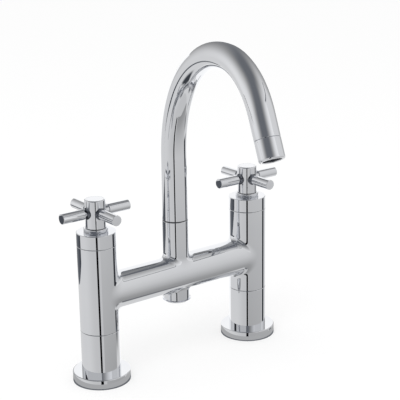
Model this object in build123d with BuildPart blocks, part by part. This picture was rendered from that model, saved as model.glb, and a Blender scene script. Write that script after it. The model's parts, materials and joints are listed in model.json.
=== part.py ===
from build123d import *
from math import cos, hypot, radians, sin
import os

# A two-handle bath faucet of the bridge pattern, in millimetres.
# The origin lies on the deck, midway between the two inlets. +X runs along the bridge, from the
# left pillar to the right one, +Z is up, and the bather stands towards -Y.

# Layout
inlet_spacing = 180.0
pillar_radius = 18.6
leg_height = 41.3
body_height = 84.0
bridge_rise = 34.8
shroud_height = 13.0
riser_height = 55.2
boss_drop = 27.5

# Fits, as gaps on the radius, then gaps between faces and the bevel of a seam
fixed_fit = 0.05
turning_fit = 0.06
ring_fit = 0.02
disc_fit = 0.1
insert_fit = 0.2
turning_gap = 0.3
seam_chamfer = 0.3

# Base flange, and the gasket let into its underside
flange_radius = 27.5
flange_height = 9.7
flange_rounding = 0.8
gasket_thickness = 2.5
gasket_rim = 2.5
gasket_inner_gap = 3.0

# Leg. Its foot takes a G 3/4 male thread, whose minor radius is given
neck_radius = 16.0
inlet_thread_radius = 12.06
inlet_thread_length = 16.0
leg_bore_radius = 8.5
leg_shoulder = 4.1
leg_spigot_length = 12.0

# O-rings: the wire of each ring, and where its groove lies along its piece
groove_side_gap = 0.25
leg_ring_wire = 1.5
leg_groove_start = 5.0
valve_ring_wire = 1.5
valve_groove_start = 2.0
spindle_ring_wire = 1.0
spindle_groove_drop = 11.0
spindle_groove_pitch = 6.0
spout_ring_wire = 1.5
spout_groove_start = 5.0
spout_groove_pitch = 6.0
plug_ring_wire = 1.5
plug_groove_start = 5.5

# Bridge casting
bridge_radius = 17.75
bridge_wall = 5.75
riser_radius = 12.7
riser_bore_radius = 7.0
boss_rounding = 2.5
cast_fillet = 3.0
seat_web = 3.7
seat_port_radius = 5.8
chamber_radius = 12.6

# Blanking plug in the boss
plug_radius = 8.0
plug_length = 9.0
plug_recess = 0.8
plug_key_flats = 6.0
plug_key_depth = 5.0

# Valve body, the brass headwork
skirt_wall = 2.0
skirt_gap = 1.0
disc_chamber_length = 30.0
window_width = 8.0
window_height = 13.0
valve_thread_length = 20.0
valve_flange_lip = 1.9
valve_flange_height = 1.5
hexagon_flats = 22.0
hexagon_height = 5.5
collar_thread_radius = 8.8
collar_thread_gap = 0.8
stem_tube_radius = 6.4
stem_tube_height = 5.5

# Ceramic discs and seat seal
disc_radius = 7.4
disc_thickness = 3.5
seal_height = 3.4
port_width = 2.6
port_sweep = 40.0
tab_width = 3.0
tab_inset = 0.5
drive_slot_width = 3.0
drive_slot_length = 14.0
drive_slot_depth = 1.5

# Spindle, its clip and its screw
spindle_radius = 4.0
spindle_waist_radius = 2.8
carrier_height = 3.5
spline_step = 0.4
spline_length = 13.0
clip_groove_depth = 0.8
clip_width = 2.2
clip_thickness = 0.9
clip_opening = 5.2
screw_radius = 2.0
screw_length = 9.0
screw_head_radius = 3.6
screw_head_height = 1.9
screw_key_flats = 2.5
screw_key_depth = 1.2
tapped_hole_depth = 10.0

# Shroud, and the collar that holds it down
shroud_wall = 2.2
shroud_top_wall = 3.0
shroud_rounding = 0.5
collar_radius = 11.5
collar_height = 3.8
collar_chamfer = 0.5

# Handle
hub_radius = 9.7
hub_height = 26.9
hub_rounding = 0.9
hub_recess_gap = 0.6
hub_recess_depth = 7.6
screw_seat_thickness = 1.7
screw_well_gap = 0.7
cap_rim = 1.75
cap_thickness = 2.4
cap_rounding = 0.4
arm_rise = 14.3
arm_radius = 4.9
arm_reach = 36.0
arm_chamfer = 0.35
arm_neck_radius = 3.6
arm_neck_length = 3.4
spot_face_depth = 0.8
arm_shank_radius = 2.75
arm_shank_length = 3.9

# Spout, bent in one upright plane that is swung from -Y towards the left pillar
spout_swing = 12.0
spout_foot_radius = 12.6
spout_tip_radius = 11.1
spout_wall = 1.5
spout_rise = 63.5
rear_bend_radius = 111.0
rear_bend_angle = 93.4
front_bend_radius = 71.3
front_bend_angle = 58.9
spout_fall = 19.8

# Spigot that the spout turns on, its bush, and the grub screw that keeps it down
spigot_radius = 9.0
spigot_length = 35.0
spigot_bore_radius = 6.0
spigot_insert_length = 12.0
bush_wall = 1.34
bush_length = 8.0
bush_flange_inset = 0.5
bush_flange_thickness = 0.5
grub_screw_drop = 16.5
grub_screw_radius = 2.5
grub_screw_recess = 0.4
grub_screw_key_flats = 2.5
grub_screw_key_depth = 1.5
point_radius = 1.6
point_side_gap = 0.6
screw_groove_depth = 1.0

# Nozzle and aerator
nozzle_length = 18.0
nozzle_insert_length = 8.0
nozzle_insert_wall = 0.8
lip_step = 0.5
lip_length = 3.0
lip_rounding = 1.8
mouth_rounding = 0.7
cage_length = 7.0
cage_hole_radius = 0.85
cage_ring_pitch = 2.1
screen_count = 2
screen_thickness = 0.4
screen_hole_width = 1.2
screen_hole_pitch = 1.9
washer_width = 2.0
washer_thickness = 2.0

# Heights that follow, from the deck up
leg_top = flange_height + leg_height
body_top = leg_top + body_height
shroud_top = body_top + shroud_height
collar_top = shroud_top + collar_height
bridge_z = leg_top + bridge_rise
riser_top = bridge_z + riser_height
boss_bottom = bridge_z - boss_drop
plug_bottom = boss_bottom + plug_recess
leg_spigot_top = leg_top + leg_spigot_length
leg_groove_z = leg_top + leg_groove_start
socket_top = leg_spigot_top + turning_gap
seat_z = socket_top + seat_web
skirt_bottom = seat_z + skirt_gap
disc_chamber_top = skirt_bottom + disc_chamber_length
fixed_disc_z = seat_z + seal_height
fixed_disc_top = fixed_disc_z + disc_thickness
turning_disc_z = fixed_disc_top + ring_fit
carrier_z = turning_disc_z + disc_thickness
tongue_z = carrier_z - drive_slot_depth + fixed_fit
valve_thread_bottom = body_top - valve_thread_length
valve_groove_z = valve_thread_bottom + valve_groove_start
hexagon_z = body_top + valve_flange_height
hexagon_top = hexagon_z + hexagon_height
collar_thread_top = collar_top - collar_thread_gap
stem_tube_top = collar_top + stem_tube_height
spindle_groove_z = stem_tube_top - spindle_groove_drop
clip_z = stem_tube_top + turning_gap
clip_groove_top = clip_z + clip_thickness + ring_fit
hub_bottom = collar_top + turning_gap
hub_top = hub_bottom + hub_height
spline_z = hub_bottom + hub_recess_depth
spline_top = spline_z + spline_length
spindle_top = spline_top - turning_gap
screw_seat_z = spline_top + screw_seat_thickness
screw_key_z = screw_seat_z + screw_head_height - screw_key_depth
cap_z = hub_top - cap_thickness
arm_z = hub_bottom + arm_rise
spout_foot = riser_top + bush_flange_thickness
spigot_bottom = spout_foot - spigot_length
spigot_insert_top = spout_foot + spigot_insert_length
spout_groove_z = spigot_bottom + spout_groove_start
bush_bottom = riser_top - bush_length
grub_screw_z = riser_top - grub_screw_drop

# Radii that follow from what fits in what
half_spacing = inlet_spacing / 2
gasket_outer_radius = flange_radius - gasket_rim
gasket_inner_radius = neck_radius + gasket_inner_gap
leg_spigot_radius = pillar_radius - leg_shoulder
leg_socket_radius = leg_spigot_radius + fixed_fit
bridge_bore_radius = bridge_radius - bridge_wall
plug_bore_radius = plug_radius + fixed_fit
disc_chamber_radius = disc_radius + disc_fit
skirt_radius = disc_chamber_radius + skirt_wall
port_centre_radius = seat_port_radius - disc_fit - port_width / 2
spindle_bore_radius = spindle_radius + turning_fit
spline_radius = spindle_radius - spline_step
clip_groove_radius = spindle_radius - clip_groove_depth
clip_inner_radius = clip_groove_radius + ring_fit
collar_bore_radius = collar_thread_radius + fixed_fit
cap_recess_radius = hub_radius - cap_rim
spot_face = hub_radius - spot_face_depth
arm_root = hub_radius + arm_neck_length
shank_end = spot_face - arm_shank_length
spigot_socket_radius = spigot_radius + turning_fit
bush_radius = spigot_socket_radius + bush_wall
spigot_insert_radius = spout_foot_radius - spout_wall - insert_fit
screw_groove_radius = spigot_radius - screw_groove_depth
grub_screw_end = riser_radius - grub_screw_recess
nozzle_insert_radius = spout_tip_radius - spout_wall - insert_fit
nozzle_bore_radius = nozzle_insert_radius - nozzle_insert_wall
mouth_radius = nozzle_bore_radius - lip_step
aerator_radius = nozzle_bore_radius - fixed_fit

UPRIGHT = (Align.CENTER, Align.CENTER, Align.MIN)
PILLARS = {"left": -half_spacing, "right": half_spacing}
ARMS = {"right": 0, "back": 90, "left": 180, "front": 270}

os.makedirs("parts", exist_ok=True)


def turned(low, high, radius, mode=Mode.ADD, x=0.0):
    """Turn a step of the piece in hand, from low to high along its axis."""
    with Locations((x, 0, low)):
        Cylinder(radius, high - low, align=UPRIGHT, mode=mode)


def bored(low, high, radius, x=0.0):
    """Bore the piece in hand, from low to high along its axis."""
    turned(low, high, radius, Mode.SUBTRACT, x)


def necked(low, high, radius, step_radius):
    """Turn a step of the piece in hand down to a smaller radius, from low to high."""
    bored(low, high, 2 * step_radius)
    turned(low, high, radius)


def ring_groove(low, wire, step_radius, bore_radius):
    """Turn a groove a little wider than the wire of its ring, which just clears the bore."""
    necked(low, low + wire + groove_side_gap, bore_radius - wire - 2 * ring_fit, step_radius)


def o_ring(low, wire, bore_radius):
    """Lay a round ring in the middle of the groove that starts at low."""
    with Locations((0, 0, low + (wire + groove_side_gap) / 2)):
        Torus(bore_radius - ring_fit - wire / 2, wire / 2)


def rims(piece, height, radius):
    """Pick the round edges of one radius that lie at one height."""
    circles = piece.edges().filter_by(GeomType.CIRCLE)
    level = circles.filter_by(lambda edge: abs(edge.arc_center.Z - height) < 0.01)
    return level.filter_by(lambda edge: abs(edge.radius - radius) < 0.01)


def across_arm(x, angle, distance=0.0):
    """Return the plane square to one arm of the handle at x, this far out from its axis."""
    outward = (cos(radians(angle)), sin(radians(angle)), 0)
    return Plane(origin=(x, 0, arm_z), z_dir=outward).offset(distance)


# The bridge casting: two valve pillars, the bridge, the riser stub and the lower boss
bridge_start = Plane.YZ.offset(-half_spacing)
grub_screw_axis = Plane(origin=(0, 0, grub_screw_z), z_dir=(0, 1, 0))
with BuildPart() as bridge_body:
    for x in PILLARS.values():
        turned(leg_top, body_top, pillar_radius, x=x)
    with BuildSketch(bridge_start):
        with Locations((0, bridge_z)):
            Circle(bridge_radius)
    extrude(amount=inlet_spacing)
    turned(boss_bottom, riser_top, riser_radius)
    fillet(bridge_body.edges().filter_by(GeomType.BSPLINE), cast_fillet)
    fillet(rims(bridge_body, boss_bottom, riser_radius), boss_rounding)
    chamfer(rims(bridge_body, leg_top, pillar_radius), seam_chamfer)
    chamfer(rims(bridge_body, body_top, pillar_radius), seam_chamfer)
    for x in PILLARS.values():
        bored(leg_top, socket_top, leg_socket_radius, x)
        bored(socket_top, seat_z, seat_port_radius, x)
        bored(seat_z, body_top, chamber_radius, x)
    with BuildSketch(bridge_start):
        with Locations((0, bridge_z)):
            Circle(bridge_bore_radius)
    extrude(amount=inlet_spacing, mode=Mode.SUBTRACT)
    bored(boss_bottom, bridge_z, plug_bore_radius)
    bored(bridge_z, riser_top, riser_bore_radius)
    bored(spigot_bottom - turning_gap, riser_top, spigot_socket_radius)
    bored(bush_bottom, riser_top, bush_radius + fixed_fit)
    with BuildSketch(grub_screw_axis):
        Circle(grub_screw_radius + fixed_fit)
    extrude(amount=riser_radius, mode=Mode.SUBTRACT)
bridge_body.part.label = "bridge_body"
export_step(bridge_body.part, "parts/bridge_body.step")

# The plug that closes the boss from below has a hexagon socket in its face
with BuildPart() as blanking_plug:
    turned(plug_bottom, plug_bottom + plug_length, plug_radius)
    ring_groove(plug_bottom + plug_groove_start, plug_ring_wire, plug_radius, plug_bore_radius)
    with BuildSketch(Plane.XY.offset(plug_bottom)):
        RegularPolygon(plug_key_flats / 2, 6, major_radius=False)
    extrude(amount=plug_key_depth, mode=Mode.SUBTRACT)
blanking_plug.part.label = "blanking_plug"
export_step(blanking_plug.part, "parts/blanking_plug.step")

with BuildPart() as blanking_plug_oring:
    o_ring(plug_bottom + plug_groove_start, plug_ring_wire, plug_bore_radius)
blanking_plug_oring.part.label = "blanking_plug_oring"
export_step(blanking_plug_oring.part, "parts/blanking_plug_oring.step")

# Both discs and the foot of the spindle share one shape of port
port_line = CenterArc((0, 0), port_centre_radius, -port_sweep / 2, port_sweep)

for side, x in PILLARS.items():
    pillar = Plane(origin=(x, 0, 0))

    # The flange spreads the load on the deck, and its gasket lies flush with its underside
    with BuildPart(pillar) as base_flange:
        turned(0, flange_height, flange_radius)
        fillet(rims(base_flange, flange_height, flange_radius), flange_rounding)
        bored(0, gasket_thickness, gasket_outer_radius)
        turned(0, gasket_thickness, gasket_inner_radius)
        bored(0, flange_height, neck_radius + fixed_fit)
    base_flange.part.label = f"{side}_base_flange"
    export_step(base_flange.part, f"parts/{side}_base_flange.step")

    with BuildPart(pillar) as deck_gasket:
        turned(0, gasket_thickness, gasket_outer_radius - fixed_fit)
        bored(0, gasket_thickness, gasket_inner_radius + fixed_fit)
    deck_gasket.part.label = f"{side}_deck_gasket"
    export_step(deck_gasket.part, f"parts/{side}_deck_gasket.step")

    # The leg stands on the flange, takes the supply in its foot and the body on its spigot
    with BuildPart(pillar) as leg:
        turned(0, flange_height, neck_radius)
        turned(flange_height, leg_top, pillar_radius)
        chamfer(rims(leg, leg_top, pillar_radius), seam_chamfer)
        turned(leg_top, leg_spigot_top, leg_spigot_radius)
        ring_groove(leg_groove_z, leg_ring_wire, leg_spigot_radius, leg_socket_radius)
        bored(0, leg_spigot_top, leg_bore_radius)
        bored(0, inlet_thread_length, inlet_thread_radius)
    leg.part.label = f"{side}_leg"
    export_step(leg.part, f"parts/{side}_leg.step")

    with BuildPart(pillar) as leg_oring:
        o_ring(leg_groove_z, leg_ring_wire, leg_socket_radius)
    leg_oring.part.label = f"{side}_leg_oring"
    export_step(leg_oring.part, f"parts/{side}_leg_oring.step")

    # The headwork: a skirt with water windows, a thread, a flange, a hexagon and the stem tube
    with BuildPart(pillar) as valve_body:
        turned(skirt_bottom, valve_thread_bottom, skirt_radius)
        turned(valve_thread_bottom, body_top, chamber_radius - fixed_fit)
        ring_groove(valve_groove_z, valve_ring_wire, chamber_radius, chamber_radius)
        turned(body_top, hexagon_z, chamber_radius + valve_flange_lip)
        with BuildSketch(pillar.offset(hexagon_z)):
            RegularPolygon(hexagon_flats / 2, 6, major_radius=False)
        extrude(amount=hexagon_height)
        turned(hexagon_top, collar_thread_top, collar_thread_radius)
        turned(collar_thread_top, stem_tube_top, stem_tube_radius)
        bored(skirt_bottom, stem_tube_top, spindle_bore_radius)
        bored(skirt_bottom, disc_chamber_top, disc_chamber_radius)
        with Locations((0, 0, bridge_z)):
            Box(3 * skirt_radius, window_width, window_height, mode=Mode.SUBTRACT)
            Box(window_width, 3 * skirt_radius, window_height, mode=Mode.SUBTRACT)
        with BuildSketch(pillar.offset(skirt_bottom)):
            Rectangle(tab_width + 2 * fixed_fit, 3 * skirt_radius)
        extrude(amount=fixed_disc_top - skirt_bottom, mode=Mode.SUBTRACT)
    valve_body.part.label = f"{side}_valve_body"
    export_step(valve_body.part, f"parts/{side}_valve_body.step")

    with BuildPart(pillar) as valve_body_oring:
        o_ring(valve_groove_z, valve_ring_wire, chamber_radius)
    valve_body_oring.part.label = f"{side}_valve_body_oring"
    export_step(valve_body_oring.part, f"parts/{side}_valve_body_oring.step")

    # Seat seal, fixed disc and turning disc stack up on the seat of the casting
    with BuildPart(pillar) as seat_seal:
        turned(seat_z, fixed_disc_z, disc_radius)
        bored(seat_z, fixed_disc_z, seat_port_radius)
    seat_seal.part.label = f"{side}_seat_seal"
    export_step(seat_seal.part, f"parts/{side}_seat_seal.step")

    # Two tabs in slots of the skirt keep the fixed disc from turning
    with BuildPart() as fixed_disc:
        with BuildSketch(pillar.offset(fixed_disc_z)):
            Circle(disc_radius)
            Rectangle(tab_width, 2 * (skirt_radius - tab_inset))
            with PolarLocations(0, 2):
                SlotArc(port_line, port_width, mode=Mode.SUBTRACT)
        extrude(amount=disc_thickness)
    fixed_disc.part.label = f"{side}_fixed_disc"
    export_step(fixed_disc.part, f"parts/{side}_fixed_disc.step")

    # The turning disc covers the ports of the fixed one until it has turned by a quarter
    with BuildPart() as turning_disc:
        with BuildSketch(pillar.offset(turning_disc_z)):
            Circle(disc_radius)
            with PolarLocations(0, 2, start_angle=90):
                SlotArc(port_line, port_width, mode=Mode.SUBTRACT)
        extrude(amount=disc_thickness)
        with BuildSketch(pillar.offset(carrier_z)):
            Rectangle(drive_slot_length, drive_slot_width)
        extrude(amount=-drive_slot_depth, mode=Mode.SUBTRACT)
    turning_disc.part.label = f"{side}_turning_disc"
    export_step(turning_disc.part, f"parts/{side}_turning_disc.step")

    # The spindle: a drive tongue, a ported foot, a waist, the sealed stem and the spline
    with BuildPart(pillar) as spindle:
        with BuildSketch(pillar.offset(tongue_z)):
            Rectangle(drive_slot_length - 2 * insert_fit, drive_slot_width - 2 * fixed_fit)
        extrude(amount=carrier_z - tongue_z)
        with BuildSketch(pillar.offset(carrier_z)):
            Circle(disc_radius)
            with PolarLocations(0, 2, start_angle=90):
                SlotArc(port_line, port_width, mode=Mode.SUBTRACT)
        extrude(amount=carrier_height)
        turned(carrier_z + carrier_height, disc_chamber_top, spindle_waist_radius)
        turned(disc_chamber_top, spline_z, spindle_radius)
        for turn in range(2):
            low = spindle_groove_z - turn * spindle_groove_pitch
            ring_groove(low, spindle_ring_wire, spindle_radius, spindle_bore_radius)
        necked(clip_z, clip_groove_top, clip_groove_radius, spindle_radius)
        turned(spline_z, spindle_top, spline_radius)
        bored(spindle_top - tapped_hole_depth, spindle_top, screw_radius)
    spindle.part.label = f"{side}_spindle"
    export_step(spindle.part, f"parts/{side}_spindle.step")

    with BuildPart(pillar) as spindle_orings:
        for turn in range(2):
            low = spindle_groove_z - turn * spindle_groove_pitch
            o_ring(low, spindle_ring_wire, spindle_bore_radius)
    spindle_orings.part.label = f"{side}_spindle_orings"
    export_step(spindle_orings.part, f"parts/{side}_spindle_orings.step")

    # The clip that keeps the spindle from dropping is open on one side
    with BuildPart() as spindle_clip:
        with BuildSketch(pillar.offset(clip_z)):
            Circle(clip_inner_radius + clip_width)
            Circle(clip_inner_radius, mode=Mode.SUBTRACT)
            with Locations((clip_inner_radius, 0)):
                Rectangle(2 * clip_inner_radius, clip_opening, mode=Mode.SUBTRACT)
        extrude(amount=clip_thickness)
    spindle_clip.part.label = f"{side}_spindle_clip"
    export_step(spindle_clip.part, f"parts/{side}_spindle_clip.step")

    # The shroud covers the hexagon, and a collar on the valve body's thread holds it down
    with BuildPart(pillar) as shroud:
        turned(body_top, shroud_top, pillar_radius)
        fillet(rims(shroud, shroud_top, pillar_radius), shroud_rounding)
        chamfer(rims(shroud, body_top, pillar_radius), seam_chamfer)
        bored(body_top, shroud_top - shroud_top_wall, pillar_radius - shroud_wall)
        bored(body_top, shroud_top, collar_bore_radius)
    shroud.part.label = f"{side}_shroud"
    export_step(shroud.part, f"parts/{side}_shroud.step")

    with BuildPart(pillar) as shroud_collar:
        turned(shroud_top, collar_top, collar_radius)
        chamfer(rims(shroud_collar, collar_top, collar_radius), collar_chamfer)
        bored(shroud_top, collar_top, collar_bore_radius)
    shroud_collar.part.label = f"{side}_shroud_collar"
    export_step(shroud_collar.part, f"parts/{side}_shroud_collar.step")

    # The hub turns the spindle. Each arm has a spot face and a tapped hole in its side
    with BuildPart(pillar) as handle_hub:
        turned(hub_bottom, hub_top, hub_radius)
        fillet(rims(handle_hub, hub_top, hub_radius), hub_rounding)
        bored(hub_bottom, spline_z, stem_tube_radius + hub_recess_gap)
        bored(spline_z, spline_top, spline_radius + fixed_fit)
        bored(spline_top, screw_seat_z, screw_radius + fixed_fit)
        bored(screw_seat_z, cap_z, screw_head_radius + screw_well_gap)
        bored(cap_z, hub_top, cap_recess_radius)
        for angle in ARMS.values():
            with BuildSketch(across_arm(x, angle, spot_face)):
                Circle(arm_neck_radius + fixed_fit)
            extrude(amount=hub_radius, mode=Mode.SUBTRACT)
            with BuildSketch(across_arm(x, angle, shank_end)):
                Circle(arm_shank_radius + fixed_fit)
            extrude(amount=hub_radius, mode=Mode.SUBTRACT)
    handle_hub.part.label = f"{side}_handle_hub"
    export_step(handle_hub.part, f"parts/{side}_handle_hub.step")

    # Each arm is turned from bar: a thick grip, a neck against the hub and a threaded shank
    for name, angle in ARMS.items():
        with BuildPart(across_arm(x, angle)) as handle_arm:
            turned(arm_root, arm_reach, arm_radius)
            chamfer(handle_arm.edges().filter_by(GeomType.CIRCLE), arm_chamfer)
            turned(spot_face, arm_root, arm_neck_radius)
            turned(shank_end, spot_face, arm_shank_radius)
        handle_arm.part.label = f"{side}_handle_arm_{name}"
        export_step(handle_arm.part, f"parts/{side}_handle_arm_{name}.step")

    # A socket screw holds the hub on the spindle, under the index cap
    with BuildPart(pillar) as handle_screw:
        turned(screw_seat_z - screw_length, screw_seat_z, screw_radius - fixed_fit)
        turned(screw_seat_z, screw_seat_z + screw_head_height, screw_head_radius)
        with BuildSketch(pillar.offset(screw_key_z)):
            RegularPolygon(screw_key_flats / 2, 6, major_radius=False)
        extrude(amount=screw_key_depth, mode=Mode.SUBTRACT)
    handle_screw.part.label = f"{side}_handle_screw"
    export_step(handle_screw.part, f"parts/{side}_handle_screw.step")

    with BuildPart(pillar) as index_cap:
        turned(cap_z, hub_top, cap_recess_radius - fixed_fit)
        fillet(rims(index_cap, hub_top, cap_recess_radius - fixed_fit), cap_rounding)
    index_cap.part.label = f"{side}_index_cap"
    export_step(index_cap.part, f"parts/{side}_index_cap.step")

# The bush lines the riser's mouth, and its thin flange is the seam under the spout
with BuildPart() as spout_bush:
    turned(bush_bottom, riser_top, bush_radius)
    turned(riser_top, spout_foot, riser_radius - bush_flange_inset)
    bored(bush_bottom, spout_foot, spigot_socket_radius)
spout_bush.part.label = "spout_bush"
export_step(spout_bush.part, "parts/spout_bush.step")

# The grub screw at the back of the riser ends in a point that runs in the spigot's groove
with BuildPart(grub_screw_axis) as grub_screw:
    turned(spigot_radius + turning_gap, grub_screw_end, grub_screw_radius)
    turned(screw_groove_radius + turning_gap, grub_screw_end, point_radius)
    with BuildSketch(grub_screw_axis.offset(grub_screw_end)):
        RegularPolygon(grub_screw_key_flats / 2, 6, major_radius=False)
    extrude(amount=-grub_screw_key_depth, mode=Mode.SUBTRACT)
grub_screw.part.label = "grub_screw"
export_step(grub_screw.part, "parts/grub_screw.step")

# The spigot is brazed into the foot of the spout and turns in the riser on two O-rings
screw_groove_side = point_radius + point_side_gap
with BuildPart() as spout_spigot:
    turned(spigot_bottom, spout_foot, spigot_radius)
    turned(spout_foot, spigot_insert_top, spigot_insert_radius)
    for turn in range(2):
        low = spout_groove_z + turn * spout_groove_pitch
        ring_groove(low, spout_ring_wire, spigot_radius, spigot_socket_radius)
    groove_low = grub_screw_z - screw_groove_side
    groove_high = grub_screw_z + screw_groove_side
    necked(groove_low, groove_high, screw_groove_radius, spigot_radius)
    bored(spigot_bottom, spigot_insert_top, spigot_bore_radius)
spout_spigot.part.label = "spout_spigot"
export_step(spout_spigot.part, "parts/spout_spigot.step")

with BuildPart() as spout_orings:
    for turn in range(2):
        low = spout_groove_z + turn * spout_groove_pitch
        o_ring(low, spout_ring_wire, spigot_socket_radius)
spout_orings.part.label = "spout_orings"
export_step(spout_orings.part, "parts/spout_orings.step")

# The spout's centre line: straight up, two bends forward, and a short straight fall
forward = Vector(-sin(radians(spout_swing)), -cos(radians(spout_swing)), 0)
spout_plane = Plane(origin=(0, 0, 0), x_dir=forward, z_dir=forward.cross(Vector(0, 0, 1)))
with BuildLine(spout_plane) as spout_line:
    rise = Line((0, spout_foot), (0, spout_foot + spout_rise))
    rear = JernArc(rise @ 1, rise % 1, rear_bend_radius, -rear_bend_angle)
    front = JernArc(rear @ 1, rear % 1, front_bend_radius, -front_bend_angle)
    fall = Line(front @ 1, front @ 1 + (front % 1) * spout_fall)
tube_start = Plane(origin=rise @ 0, z_dir=rise % 0)
tube_end = Plane(origin=fall @ 1, x_dir=spout_plane.z_dir, z_dir=fall % 1)

# The tube narrows evenly from its foot to the nozzle and keeps its wall
with BuildPart() as spout_tube:
    with BuildSketch(tube_start):
        Circle(spout_foot_radius)
    with BuildSketch(tube_end):
        Circle(spout_tip_radius)
    sweep(path=spout_line.wire(), multisection=True)
    with BuildSketch(tube_start):
        Circle(spout_foot_radius - spout_wall)
    with BuildSketch(tube_end):
        Circle(spout_tip_radius - spout_wall)
    sweep(path=spout_line.wire(), multisection=True, mode=Mode.SUBTRACT)
spout_tube.part.label = "spout_tube"
export_step(spout_tube.part, "parts/spout_tube.step")

# The nozzle, measured along its own axis from its seam, ends in a rounded lip
cage_end = nozzle_length - lip_length
with BuildPart(tube_end) as spout_nozzle:
    turned(0, nozzle_length, spout_tip_radius)
    ends = spout_nozzle.edges().filter_by(GeomType.CIRCLE).sort_by(Axis.Z)
    chamfer(ends[-1], seam_chamfer)
    fillet(ends[0], lip_rounding)
    turned(-nozzle_insert_length, 0, nozzle_insert_radius)
    bored(cage_end, nozzle_length, mouth_radius)
    circles = spout_nozzle.edges().filter_by(GeomType.CIRCLE)
    mouth_edges = circles.filter_by(lambda edge: abs(edge.radius - mouth_radius) < 0.01)
    fillet(mouth_edges.sort_by(Axis.Z)[0], mouth_rounding)
    bored(-nozzle_insert_length, cage_end, nozzle_bore_radius)
spout_nozzle.part.label = "spout_nozzle"
export_step(spout_nozzle.part, "parts/spout_nozzle.step")

# The aerator rests on the lip: a pierced cage, thin screens behind it, and a washer
cage_start = cage_end - cage_length
cage_rings = int((aerator_radius - cage_hole_radius) / cage_ring_pitch)
with BuildPart() as aerator_cage:
    with BuildSketch(tube_end.offset(cage_start)):
        Circle(aerator_radius)
        Circle(cage_hole_radius, mode=Mode.SUBTRACT)
        for ring in range(1, cage_rings + 1):
            with PolarLocations(ring * cage_ring_pitch, 6 * ring):
                Circle(cage_hole_radius, mode=Mode.SUBTRACT)
    extrude(amount=cage_length)
aerator_cage.part.label = "aerator_cage"
export_step(aerator_cage.part, "parts/aerator_cage.step")

screen_reach = mouth_radius - screen_hole_width
holes_across = 2 * int(screen_reach / screen_hole_pitch) + 1
screen_grid = GridLocations(screen_hole_pitch, screen_hole_pitch, holes_across, holes_across)
screens_start = cage_start - screen_count * (screen_thickness + ring_fit)
with BuildPart() as aerator_screens:
    for layer in range(screen_count):
        layer_start = screens_start + layer * (screen_thickness + ring_fit)
        with BuildSketch(tube_end.offset(layer_start)):
            Circle(aerator_radius)
            for place in screen_grid:
                if hypot(place.position.X, place.position.Y) < screen_reach:
                    with Locations(place):
                        Rectangle(screen_hole_width, screen_hole_width, mode=Mode.SUBTRACT)
        extrude(amount=screen_thickness)
aerator_screens.part.label = "aerator_screens"
export_step(aerator_screens.part, "parts/aerator_screens.step")

with BuildPart(tube_end) as aerator_washer:
    turned(screens_start - washer_thickness, screens_start, aerator_radius)
    bored(screens_start - washer_thickness, screens_start, aerator_radius - washer_width)
aerator_washer.part.label = "aerator_washer"
export_step(aerator_washer.part, "parts/aerator_washer.step")
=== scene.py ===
# %% [markdown]
# # A two-handle bath faucet in polished chrome
#
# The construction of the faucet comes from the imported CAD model: every piece has its real size and
# place there, and that frame never changes. This lesson dresses it. It sets the camera, builds a
# small photographic studio out of the world and a few cards, writes the materials as node trees,
# and remakes with bmesh the pieces whose curved chrome needs a cleaner mesh than a CAD export has.

# %% Load the frame
import json
import math

import bmesh
import bpy
from mathutils import Matrix, Vector

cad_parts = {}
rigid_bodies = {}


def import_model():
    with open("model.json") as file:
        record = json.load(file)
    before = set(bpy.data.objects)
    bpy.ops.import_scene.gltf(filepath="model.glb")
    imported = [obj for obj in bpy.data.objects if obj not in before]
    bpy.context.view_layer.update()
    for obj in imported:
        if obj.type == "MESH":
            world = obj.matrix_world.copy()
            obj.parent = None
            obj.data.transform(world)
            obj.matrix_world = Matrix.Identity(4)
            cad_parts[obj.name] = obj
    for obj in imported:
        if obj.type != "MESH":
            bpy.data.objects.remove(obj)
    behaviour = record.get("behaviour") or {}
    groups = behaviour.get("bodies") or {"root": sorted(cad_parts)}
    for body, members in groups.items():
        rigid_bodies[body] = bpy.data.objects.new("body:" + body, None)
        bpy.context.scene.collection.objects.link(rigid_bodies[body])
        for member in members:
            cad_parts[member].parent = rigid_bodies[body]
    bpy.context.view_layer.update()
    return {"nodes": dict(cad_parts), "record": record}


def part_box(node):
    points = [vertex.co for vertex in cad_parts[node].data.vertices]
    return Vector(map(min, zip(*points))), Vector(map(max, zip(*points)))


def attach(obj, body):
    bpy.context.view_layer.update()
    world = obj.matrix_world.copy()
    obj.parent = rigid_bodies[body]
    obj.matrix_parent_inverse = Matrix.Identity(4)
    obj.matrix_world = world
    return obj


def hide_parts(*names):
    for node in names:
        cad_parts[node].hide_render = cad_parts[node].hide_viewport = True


for leftover in list(bpy.data.objects):
    bpy.data.objects.remove(leftover)
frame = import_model()
nodes = frame["nodes"]

# %% [markdown]
# ## Where the camera stands
#
# A long lens from a little over a metre keeps the verticals almost parallel, as a catalogue
# photograph does. Azimuth 0 would look along +Y. The camera stands to the left of that and a
# little above the faucet, and leans by less than a degree.

# %% Camera
CAMERA_PLACE = Vector((-0.63213, -0.87464, 0.48496))
CAMERA_AZIMUTH = math.radians(-37.15)
CAMERA_ELEVATION = math.radians(16.77)
CAMERA_ROLL = math.radians(-0.84)
CAMERA_LENS = 105.39
SENSOR = 36.0


def turn(angle, axis):
    return Matrix.Rotation(angle, 4, axis)


def move(x, y, z):
    return Matrix.Translation((x, y, z))


camera_data = bpy.data.cameras.new("camera")
camera_data.lens = CAMERA_LENS
camera_data.sensor_width = SENSOR
camera_data.clip_end = 50.0
camera = bpy.data.objects.new("camera", camera_data)
bpy.context.scene.collection.objects.link(camera)
camera.matrix_world = (move(*CAMERA_PLACE) @ turn(CAMERA_AZIMUTH, "Z")
                       @ turn(math.pi / 2 - CAMERA_ELEVATION, "X") @ turn(CAMERA_ROLL, "Z"))
bpy.context.scene.camera = camera
print("camera at", [round(value, 3) for value in CAMERA_PLACE], "m, lens", CAMERA_LENS, "mm")

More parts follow.
